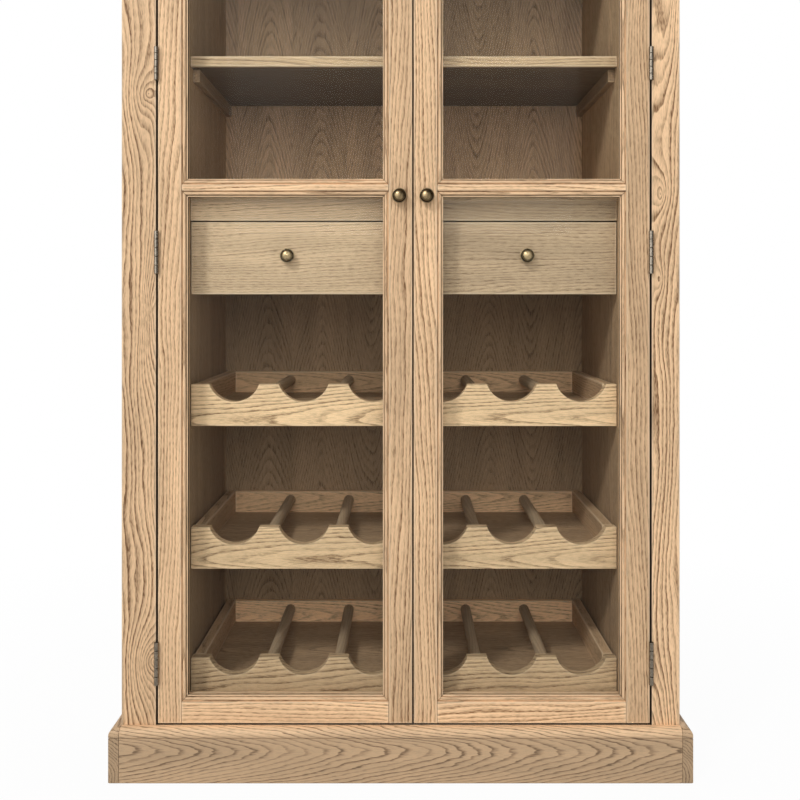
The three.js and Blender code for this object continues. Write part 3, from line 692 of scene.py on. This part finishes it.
# The plinth: skirting with a groove under its rounded top, with painted light and shade: lighter up the
# rounding and on top, darker on the face and sides
groove_head = PLINTH - GROOVE_DROP
groove_foot = groove_head - GROOVE
groove_face = SKIRT - GROOVE_DEPTH
skirt_face = [(0, SKIRT_HEEL), (SKIRT_HEEL, 0), (SKIRT - SKIRT_TOE, 0), (SKIRT, SKIRT_TOE)]
skirt_face += [(SKIRT, groove_foot - SKIRT_FLAT), (SKIRT, groove_foot)]
skirt_face += [(groove_face, groove_foot), (groove_face, groove_head), (SKIRT, groove_head)]
round_middle = (SKIRT - SKIRT_ROUND, PLINTH - SKIRT_ROUND)
skirt_round = arc(round_middle, SKIRT_ROUND, 0, 90, ROUND_STEPS)
skirt_section = np.concatenate([skirt_face, skirt_round, [(0, PLINTH)]])
round_light = np.linspace(*SKIRT_ROUND_LIGHT, ROUND_STEPS)
skirt_light_and_shade = np.concatenate([np.full(len(skirt_face), SKIRT_SHADE_TONE), round_light, [SKIRT_TOP_LIGHT]])
low, high = corners("plinth")
front_back = low[1] + SKIRT
front_ends = [(x, front_back, 0) for x in (high[0] - SKIRT - SKIRT_JOINT, low[0] + SKIRT + SKIRT_JOINT)]
front_wood = timber(0, 2, -9 * mm, 24 * mm, 0.165, start=6.6122)
front_skirt = carried(skirt_section, *front_ends, (0, -1, 0), (0, 0, 1), (0, 0), front_wood, skirt_light_and_shade)
piece("plinth_front_board", [front_skirt], plinth_oak, "case", "plinth")
for side, outer, out in (("left", low[0], -1), ("right", high[0], 1)):
    inner = outer - out * SKIRT
    corner = (inner, front_back)
    stops = [((inner, high[1]), (out, 0)), (corner, (out, -1)), (corner, (0, -1))]
    side_wood = timber(1, 2, 40 * mm, 30 * mm, 0.05)
    side_skirt = round_corner(skirt_section, stops, side_wood, SKIRT_SIDE_SHADE * skirt_light_and_shade)
    piece(f"plinth_{side}_board", [side_skirt], plinth_oak, "case", "plinth")

for side, inwards in (("left", 1), ("right", -1)):
    # An inner side: a lining board with painted light and shade, lighter towards its head, and its front
    # return
    low, high = corners(f"inner_side_{side}")
    wall, face = (low[0], high[0])[::inwards]
    outer = face - inwards * LINING
    faded = LINING_SHADE_TONES[side] * np.repeat(LINING_LIGHT_FADE, CORNER_ROWS)[:, None]
    lining_span = sorted((outer, face))
    return_spans = {"x": sorted((wall, outer)), "y": (low[1], low[1] + RETURN)}
    linings = [
        board(low, high, rift_sawn(2, 1), 2, faded, EASE, 0.3, x=lining_span),
        board(low, high, rift_sawn(2, 0), 2, 1.0, EASE, 0.3, **return_spans),
    ]
    piece(f"inner_side_{side}_boards", linings, inner_oak, "case", f"inner_side_{side}")

    # The rear upright with the cleats and the drawer's runner that it carries
    low, high = corners(f"cleats_{side}")
    upright_span = (high[1] - UPRIGHT, high[1])
    forms = [board(low, high, rift_sawn(2, 0), 2, 1.0, EASE, 0, x=lining_span, y=upright_span)]
    rows = [(foot, CLEAT, CLEAT_HEIGHT) for foot in shelf_feet]
    rows += [(foot, RACK_CLEAT, RACK_CLEAT_HEIGHT) for foot in rack_tray_feet]
    rows.append((runner_top + SEAT, RUNNER_REACH, RUNNER_HEIGHT))
    for foot, reach, tall in rows:
        spans = {"x": sorted((face, face + inwards * reach)), "z": (foot - SEAT - tall, foot - SEAT)}
        forms.append(board(low, high, rift_sawn(1, 2), 1, CLEAT_TONE, EASE, 0.2, **spans))
    piece(f"cleats_{side}_boards", forms, inner_oak, "case", f"cleats_{side}")

# The divider between the drawers: a post before two boards with runners
low, high = corners("drawer_divider")
post = (low[0] + RUNNER_REACH, high[0] - RUNNER_REACH)
board_front = low[1] + SHELF_RAIL + SEAT
post_spans = {"x": post, "y": (low[1], board_front), "z": (low[2], rail_drop - SEAT)}
forms = [board(low, high, rift_sawn(2, 0), 2, POST_TONE, **post_spans)]
behind, runner_span = (board_front, high[1]), (runner_top - RUNNER_HEIGHT, runner_top)
for span in ((post[0], post[0] + DIVIDER_BOARD), (post[1] - DIVIDER_BOARD, post[1])):
    forms.append(board(low, high, rift_sawn(1, 2), 1, x=span, y=behind))
for span in ((low[0], post[0]), (post[1], high[0])):
    forms.append(board(low, high, rift_sawn(1, 0), 1, x=span, y=behind, z=runner_span))
piece("drawer_divider_boards", forms, inner_oak, "case", "drawer_divider")


def scalloped(low, high, cradles, wood, tone):
    """A rack's front: upright rounded rectangles side by side along X. Their top follows a level
    line with round cradles let into it; the rounding of the top edges is measured square to it."""
    top = high[2]
    rise = CRADLE_RADIUS - CRADLE_DEPTH
    half_chord = np.sqrt(CRADLE_RADIUS**2 - rise**2)
    reach = np.linspace(-1, 1, CRADLE_STEPS) * np.arcsin(half_chord / CRADLE_RADIUS)
    dip = np.stack([CRADLE_RADIUS * np.sin(reach), rise - CRADLE_RADIUS * np.cos(reach)], axis=1)
    lip = np.array([[-half_chord - beside, 0] for beside in CRADLE_LIP])
    cradle = np.concatenate([lip, dip, -lip[::-1]])
    line = (cradle[None] + np.stack([cradles, np.full(CRADLES, top)], axis=1)[:, None]).reshape(-1, 2)
    steepness = np.tile(np.concatenate([[1, 1], 1 / np.cos(reach), [1, 1]]), CRADLES)
    middle, half = (low + high) / 2, (high - low) / 2
    cores, turns, column_wear = rounded_section(half[1:], RACK_EASE, np.full(2, WORN_STRIP))
    end_place, end_share, end_wear = rounded_ends(half[0], RACK_EASE, WORN_STRIP)
    x = np.insert(middle[0] + end_place, CORNER_ROWS, line[:, 0])
    z = np.insert(np.full(len(end_place), top), CORNER_ROWS, line[:, 1])
    share = np.insert(end_share, CORNER_ROWS, np.ones(len(line)))
    slope = np.insert(np.ones(len(end_place)), CORNER_ROWS, steepness)
    wear = np.insert(end_wear, CORNER_ROWS, np.zeros(len(line)))
    outline = cores + RACK_EASE * share[:, None, None] * turns
    rings = np.empty((len(x), len(cores), 3))
    rings[:, :, 0] = x[:, None]
    rings[:, :, 1] = middle[1] + outline[:, :, 0]
    from_top = (half[2] - outline[:, :, 1]) * slope[:, None]
    from_foot = half[2] + outline[:, :, 1]
    rings[:, :, 2] = np.where(cores[:, 1] > 0, z[:, None] - from_top, low[2] + from_foot)
    return loft(rings, 0.3 * np.maximum(column_wear, wear[:, None]), wood, tone)


def floor_and_sides(low, high, sizes, tones, **floor_spans):
    """The floor of an open box and the two sides that stand on it. Sizes and tones are two each,
    first the floor's."""
    floor_top, side = low[2] + sizes[0], sizes[1]
    forms = [board(low, high, plain_sawn(0, 1), 0, tones[0], z=(low[2], floor_top), **floor_spans)]
    for span in ((low[0], low[0] + side), (high[0] - side, high[0])):
        forms.append(board(low, high, rift_sawn(1, 2), 1, tones[1], x=span, z=(floor_top, high[2])))
    return forms


# The racks: a scalloped front before a tray with sides, floor, back and dowels, with painted light and shade
for rack, front_light_and_shade, back_painted_light in RACKS:
    low, high = corners(f"{rack}_front")
    cradles = np.linspace(low[0] + FIRST_CRADLE, high[0] - LAST_CRADLE, CRADLES)
    flat_sawn = timber(0, 2, chance.uniform(16, 26) * mm, 24 * mm, chance.choice([-0.06, 0.06]))
    front = scalloped(low, high, cradles, flat_sawn, front_light_and_shade)
    piece(f"{rack}_scalloped_board", [front], rack_oak, "case", f"{rack}_front")
    low, high = corners(f"{rack}_tray")
    inner_back = high[1] - TRAY_BACK
    back_spans = {"x": (low[0] + TRAY_SIDE, high[0] - TRAY_SIDE), "y": (inner_back, high[1])}
    sizes, tones = (TRAY_FLOOR, TRAY_SIDE), (TRAY_FLOOR_TONE, TRAY_SIDE_TONE)
    forms = floor_and_sides(low, high, sizes, tones, y=(low[1], inner_back))
    forms.append(board(low, high, plain_sawn(0, 2), 0, back_painted_light, **back_spans))
    piece(f"{rack}_tray_boards", forms, inner_oak, "case", f"{rack}_tray")
    rod_length = inner_back - low[1]
    rod = [(0, 0), (DOWEL, 0), (DOWEL, rod_length), (0, rod_length)]
    dowels = [
        turned(rod, (x, low[1], high[2] - DOWEL_DROP), 1, rift_sawn(1, 0), DOWEL_TONE)
        for x in (cradles[:-1] + cradles[1:]) / 2
    ]
    piece(f"{rack}_dowels", dowels, inner_oak, "case", f"{rack}_tray")


def knob(name, body, node):
    """A cast knob: rose with a ring, waisted neck, and a domed head inside a fine rolled rim."""
    low, high = corners(node)
    radius = (high[0] - low[0]) / 2
    middle = (low + high) / 2
    reach = high[1] - low[1]
    rose, neck, dome = radius * ROSE_SHARE, radius * NECK_SHARE, radius * DOME_SHARE
    rim = reach * RIM_SHARE
    foot = [(0, 0), (rose - 0.6 * mm, 0)]
    rose_edge = arc((rose - ROSE_ROUND, 1.0 * mm), ROSE_ROUND, -40, 90, 7)
    rising = np.linspace(0, 1, 9)
    waist = neck * (1 + NECK_FLARE * (2 * rising - 1) ** 4)
    waist = np.stack([waist, NECK_FOOT + (rim - NECK_TOP - NECK_FOOT) * rising], axis=1)
    rolled = arc((radius - RIM_ROUND, rim - 0.3 * mm), RIM_ROUND, -110, 110, 9)
    turn = np.linspace(0, pi / 2, 14)
    head = np.stack([dome * np.cos(turn), rim + (reach - rim) * np.sin(turn) ** 1.12], axis=1)
    profile = np.concatenate([foot, rose_edge, waist, rolled, head])
    # Wear: dark patina on the foot and neck, a rubbed rose, then painted reflection: a bright rim, and the
    # dome dark at its edge and bright to its top
    rubbed_and_sheen = np.repeat([0, 0.5, 0.1, 1, 0, 0.4, 1], [2, 7, 9, 9, 5, 3, 6])
    form = turned(profile * [1, -1], (middle[0], high[1], middle[2]), 1, wear=rubbed_and_sheen, steps=48)
    piece(name, [form], brass, body, node)


def door_section():
    """Section of the moulding round the glass: a quirk, a bead, a hollow and the lip over the glass.
    It runs out from the frame's flat, and up is depth into the door. Gives its points, wear, and a tone that
    paints shade into its quirk, hollow and lip."""
    bead = QUIRK + BEAD
    quirk_depth = BEAD_SINK + BEAD
    step = quirk_depth + BEAD_SINK
    hollow_end = MOULDING - HOLLOW_END
    # Each part's tone is painted shade, darkest in the hollow and on the lip's side towards the glass
    parts = [
        ([(0, LIP), (0, quirk_depth), (QUIRK - QUIRK_SLOPE, quirk_depth)], 0.0, 0.7),
        (arc((bead, quirk_depth), BEAD, -180, 0, 13), 0.35, 1.0),
        ([(bead + BEAD, step), (bead + BEAD + HOLLOW_SLOPE, step + HOLLOW)], 0.0, 0.5),
        ([(hollow_end, step + HOLLOW), (hollow_end + HOLLOW_SLOPE, step)], 0.0, 0.65),
        (arc((MOULDING - FILLET, step + FILLET), FILLET, -90, 0, 5), 1.0, 1.05),
        ([(MOULDING, step + HOLLOW), (MOULDING, LIP)], 0.0, 0.12),
    ]
    counts = [len(points) for points, _, _ in parts]
    wear, tone = (np.repeat([part[i] for part in parts], counts) for i in (1, 2))
    return np.concatenate([points for points, _, _ in parts]), wear, tone


def moulded_edges(front, left, right, openings):
    """The moulding round both panes, mitred at the corners, as forms for each stile and rail."""
    section, wear, tone = door_section()
    edges = {"left": [], "right": [], "bottom": [], "middle": [], "top": []}
    for (foot, head), below, above in zip(openings, ("bottom", "middle"), ("middle", "top")):
        for part, start, end, out, along in (
            ("left", (left, foot + MITRE_GAP), (left, head - MITRE_GAP), (1, 0), 2),
            ("right", (right, head - MITRE_GAP), (right, foot + MITRE_GAP), (-1, 0), 2),
            (below, (right - MITRE_GAP, foot), (left + MITRE_GAP, foot), (0, 1), 0),
            (above, (left + MITRE_GAP, head), (right - MITRE_GAP, head), (0, -1), 0),
        ):
            places = [(x, front, z) for x, z in (start, end)]
            towards_glass, shaded = (out[0], 0, out[1]), tone ** SHADE_BY_FACING[out]
            wood = rift_sawn(along, 1)
            form = carried(section, *places, towards_glass, (0, 1, 0), (1, 1), wood, shaded, wear)
            edges[part].append(form)
    return edges


def glazing(body, level, left, right, foot, head, back):
    """A pane and the four beads behind it that hold it in its rebate."""
    node = f"{body}_{level}_glass"
    low, high = corners(node)
    piece(f"{node}_pane", [board(low, high, None, 2, ease=GLASS_EASE)], clear_glass, body, node)
    front, back = high[1] + BEAD_PLAY, back - BEAD_INSET
    inner_left, inner_right = left + GLAZING_BEAD, right - GLAZING_BEAD
    beads = [
        ((left, front, foot), (inner_left, back, head), 2),
        ((inner_right, front, foot), (right, back, head), 2),
        ((inner_left, front, foot), (inner_right, back, foot + GLAZING_BEAD), 0),
        ((inner_left, front, head - GLAZING_BEAD), (inner_right, back, head), 0),
    ]
    forms = [board(low, high, rift_sawn(along, 1), along) for low, high, along in beads]
    piece(f"{body}_{level}_glazing_beads", forms, door_oak, body)


def door(side):
    """One door: stiles, rails, moulded edges, panes with their beads, knob."""
    body = f"door_{side}"
    hinge_stile, meeting_stile = corners(f"{body}_hinge_stile"), corners(f"{body}_meeting_stile")
    x0, *_, x1 = sorted([*hinge_stile[:, 0], *meeting_stile[:, 0]])
    (front, foot), (back, head) = hinge_stile[:, 1:]
    left, right = x0 + STILE_FLAT, x1 - STILE_FLAT
    middle_low, middle_high = corners(f"{body}_middle_rail")
    lower = (foot + BOTTOM_RAIL_FLAT, middle_low[2] + MOULDING)
    upper = (middle_high[2] - MOULDING, head - TOP_RAIL_FLAT)
    edges = moulded_edges(front, left, right, (lower, upper))
    kinds = list(zip(("hinge", "meeting"), STILE_TONES[side]))
    # The stiles' free edges carry painted shade, for the dark gaps beside the doors
    for part, (start, end), (kind, tone), edge_shades in zip(
        ("left", "right"),
        ((x0, left), (right, x1)),
        kinds if side == "left" else kinds[::-1],
        ((DOOR_EDGE_SHADE, 1), (1, DOOR_EDGE_SHADE)),
    ):
        low, high = (start, front, foot), (end, back, head)
        form = board(low, high, rift_sawn(2, 0), 2, tone, DOOR_EASE, edge_shades=edge_shades)
        node = f"{body}_{kind}_stile"
        piece(f"{node}_wood", [form, *edges[part]], door_oak, body, node)
    rails = {"bottom": (foot, lower[0]), "middle": (lower[1], upper[0]), "top": (upper[1], head)}
    for part, (z0, z1) in rails.items():
        low, high = (left + MITRE_GAP, front, z0), (right - MITRE_GAP, back, z1)
        form = board(low, high, rift_sawn(0, 2), 0, DOOR_RAIL_TONES[part], DOOR_EASE)
        node = f"{body}_{part}_rail"
        piece(f"{node}_wood", [form, *edges[part]], door_oak, body, node)
    glazing(body, "lower", left, right, *lower, back)
    glazing(body, "upper", left, right, *upper, back)
    knob(f"{body}_turned_knob", body, f"{body}_knob")


door("left")
door("right")

# A lath on the left door, painted near black as the shade in the gap between the doors
low, high = corners("door_left_meeting_stile")
gap = (high[0] + SEAT, corners("door_right_meeting_stile")[0][0] - LATH_PLAY)
depth = (low[1] + LATH_FRONT, low[1] + LATH_BACK)
lath = board(low, high, rift_sawn(2, 1), 2, LATH_SHADE_TONE, rub=0, x=gap, y=depth)
piece("door_left_gap_shade_lath", [lath], door_oak, "door_left")


def hinge_leaf(node, body, axis_x, axis_y, foot, head, direction, first_knuckle):
    """Half of a butt hinge: a leaf in the gap, every second knuckle on the axis in front of it,
    and screw heads on the leaf's inner face. Direction is the way from the axis to the leaf."""
    outer = axis_x + direction * (HINGE_GAP / 2 - SEAT)
    inner = outer - direction * LEAF
    near, far = sorted((outer, inner))
    leaf_front = axis_y + BARREL
    leaf = (near, leaf_front, foot), (far, leaf_front + LEAF_DEPTH, head)
    forms = [board(*leaf, None, 2, ease=LEAF_EASE)]
    knuckle = (head - foot) / KNUCKLES
    tall = knuckle - SEAT
    drum_edge = BARREL - KNUCKLE_EASE
    drum = [(0, 0), (drum_edge, 0), (BARREL, KNUCKLE_EASE)]
    drum += [(BARREL, tall - KNUCKLE_EASE), (drum_edge, tall), (0, tall)]
    for i in range(first_knuckle, KNUCKLES, 2):
        place = (axis_x, axis_y, foot + i * knuckle + SEAT / 2)
        forms.append(turned(drum, place, 2, wear=[0, 0.4, 1, 1, 0.4, 0]))
    screw = np.array(SCREW) * [1, -direction]
    for share in SCREW_PLACES:
        spot = (inner, leaf_front + LEAF_DEPTH * SCREW_DEPTH, foot + share * (head - foot))
        forms.append(turned(screw, spot, 0, wear=1, steps=16))
    piece(f"{node}_steel", forms, bronze, body, node)


for side, towards_case in (("left", -1), ("right", 1)):
    for place in ("bottom", "lower", "upper", "top"):
        case_leaf, door_leaf = (f"hinge_{side}_{place}_{part}_leaf" for part in ("case", "door"))
        low, high = corners(case_leaf)
        left, *_, right = sorted([low[0], high[0], *corners(door_leaf)[:, 0]])
        lie = ((left + right) / 2, low[1] + BARREL, low[2], high[2])
        hinge_leaf(case_leaf, "case", *lie, towards_case, 0)
        hinge_leaf(door_leaf, f"door_{side}", *lie, -towards_case, 1)

# The drawers: an oak front before an open box of thin boards
for side in ("left", "right"):
    body = f"drawer_{side}"
    low, high = corners(f"{body}_front")
    # The fronts' tones are painted shade, darker on the right
    front = board(low, high, rift_sawn(0, 2), 0, DRAWER_SHADE_TONES[side])
    piece(f"{body}_front_board", [front], drawer_oak, body, f"{body}_front")
    low, high = corners(f"{body}_box")
    forms = floor_and_sides(low, high, (BOX_BOARD, BOX_BOARD), (BOX_FLOOR_TONE, BOX_WALL_TONE))
    end_spans = {"x": (low[0] + BOX_BOARD, high[0] - BOX_BOARD), "z": (low[2] + BOX_BOARD, high[2])}
    for span in ((low[1], low[1] + BOX_BOARD), (high[1] - BOX_BOARD, high[1])):
        forms.append(board(low, high, rift_sawn(0, 2), 0, BOX_WALL_TONE, y=span, **end_spans))
    piece(f"{body}_box_boards", forms, inner_oak, body, f"{body}_box")
    knob(f"{body}_turned_knob", body, f"{body}_knob")

# Camera at the photograph's place, level, looking along +Y
camera_data = bpy.data.cameras.new("camera")
camera_data.lens = 44
camera_data.shift_x = -0.005
camera_data.shift_y = -0.119
camera = placed("camera", camera_data)
camera.location = (0.0055, -1.813, 0.79)
camera.rotation_euler = (pi / 2, 0, 0)
bpy.context.scene.camera = camera


def lamp(name, place, turn, size, power, mirrored=True):
    """A square soft lamp, turned by so many degrees, which metal and glass may mirror or not."""
    data = bpy.data.lights.new(name, "AREA")
    data.size = size
    data.energy = power
    made = placed(name, data)
    made.location = place
    made.rotation_euler = np.radians(turn)
    made.visible_glossy = mirrored


lamp("key_lamp", (-3.4, -4.9, 5.4), (53, 0, -35), 1.3, 240)
lamp("front_lamp", (0.0, -4.6, 2.3), (73, 0, 0), 2.2, 62, False)
lamp("fill_lamp", (2.6, -3.2, 1.6), (76, 0, 39), 2.6, 9)
lamp("back_lamp", (0.5, 3.2, 3.0), (-48, 0, 0), 2.4, 40)


def white_room():
    """A world that lights evenly and shows white. In mirrors it is white behind the cabinet, dark
    at the sides and dim before it, with a broad bright window."""
    world = bpy.data.worlds.new("white_room")
    world.use_nodes = True
    bpy.context.scene.world = world
    world.node_tree.nodes.clear()
    add = partial(add_node, world.node_tree)
    rays = add("LightPath", out=None)
    towards = add("TexCoord", out="Generated")
    backwards = add("SeparateXYZ", [towards], out="Y")
    mirrored = add("ValToRGB", [backwards], stops=[(0.0, 0.05), (0.5, 0.2), (0.85, 1.0)])
    window = add("VectorMath DOT_PRODUCT", [towards, WINDOW], "Value")
    window = add("ValToRGB", [window], stops=[(0.55, 0.0), (0.8, 0.45), (0.95, 1.0)])
    mirrored = add("Math MULTIPLY_ADD", [window, 2.2, mirrored])
    mirrored = add("Math MULTIPLY", [mirrored, rays["Is Glossy Ray"]])
    seen = add("Math MAXIMUM", [rays["Is Camera Ray"], rays["Is Transmission Ray"]])
    seen = add("Math MAXIMUM", [seen, mirrored])
    diffuse = add("Math MULTIPLY", [rays["Is Diffuse Ray"], AMBIENT])
    strength = add("Math MAXIMUM", [seen, diffuse])
    sky = add("Background", {"Color": (1, 1, 1, 1), "Strength": strength})
    add("OutputWorld", [sky], out=None)


def pale_floor():
    """A pale floor that takes the shadow near the cabinet and turns white further out. Under the
    cabinet, inside its plinth, it shows no white."""
    material, add = new_material("pale_floor")
    pale = add("BsdfDiffuse", {"Color": linear("#f0efec")})
    white = add("Emission", {"Color": (1, 1, 1, 1), "Strength": 1.0})
    rays = add("LightPath", out=None)
    shown = add("Math MAXIMUM", [rays["Is Camera Ray"], rays["Is Transmission Ray"]])
    place = add("TexCoord", out="Object")
    far = add("VectorMath LENGTH", [place], "Value")
    share = add("MapRange", [far, 0.5, 1.6, 0.96, 1.0])
    share = add("Math MULTIPLY", [shown, share])
    x, y, _ = add("SeparateXYZ", [place], out=None)
    aside = add("Math ABSOLUTE", [x])
    aside = add("Math GREATER_THAN", [aside, cad_box[1][0] - SKIRT])
    behind = add("Math GREATER_THAN", [y, cad_box[1][1]])
    before = add("Math LESS_THAN", [y, corners("plinth")[0][1] + SKIRT])
    outside = add("Math MAXIMUM", [behind, before])
    outside = add("Math MAXIMUM", [aside, outside])
    share = add("Math MULTIPLY", [share, outside])
    add("OutputMaterial", [add("MixShader", [share, pale, white])], out=None)
    mesh = bpy.data.meshes.new("floor")
    turns = np.linspace(0, 2 * pi, 64, endpoint=False)
    rim = np.stack([9 * np.cos(turns), 9 * np.sin(turns), np.zeros(64)], axis=1)
    mesh.from_pydata(rim.tolist(), [], [list(range(64))])
    mesh.materials.append(material)
    placed("floor", mesh)


white_room()
pale_floor()

bpy.context.scene.view_settings.view_transform = "Standard"
